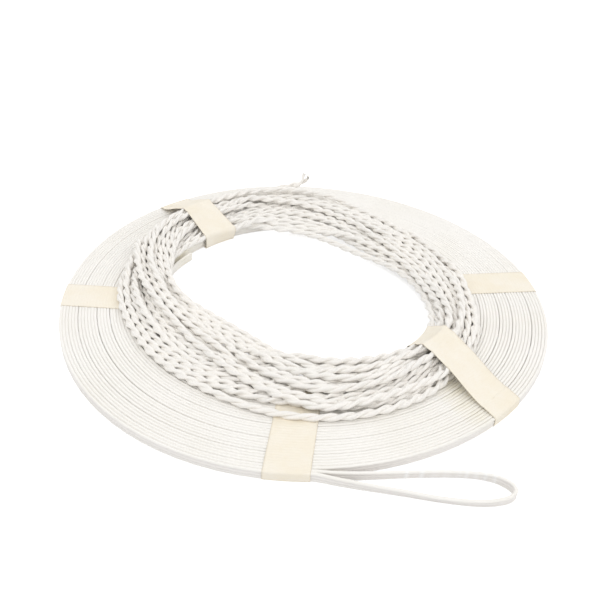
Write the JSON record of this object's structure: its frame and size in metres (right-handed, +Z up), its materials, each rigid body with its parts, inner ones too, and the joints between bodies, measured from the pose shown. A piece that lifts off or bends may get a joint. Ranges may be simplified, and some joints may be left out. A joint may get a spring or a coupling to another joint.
{
  "type": "taped cord coils",
  "caption": "Open flat coil of ribbed white strip with a looser coil of twisted white cord lying on it, bound together by paper tape.",
  "frame": {"origin": "on the axis of the flat coil, in the plane that the part lies on", "axes": "+Z up along the axis of the coils; -Y towards the tape that holds the free loop of flat cord; +X to the side that this loop points to"},
  "size_m": [0.3203, 0.3393, 0.0276],
  "materials": {
    "flat_cord": "smooth satin, ribbed along its length",
    "twisted_cord": "two-ply twisted, soft sheen",
    "paper_tape": "matt creped paper"
  },
  "bodies": {
    "root": {"flat_cord_inner_turns": "flat_cord", "flat_cord_coil": "flat_cord", "flat_cord_bight": "flat_cord", "flat_cord_inner_end": "flat_cord", "twisted_cord_coil": "twisted_cord", "twisted_cord_end": "twisted_cord", "tape_front": "paper_tape", "tape_left": "paper_tape", "tape_right": "paper_tape", "tape_front_right": "paper_tape", "tape_back_left": "paper_tape"}
  },
  "joints": []
}
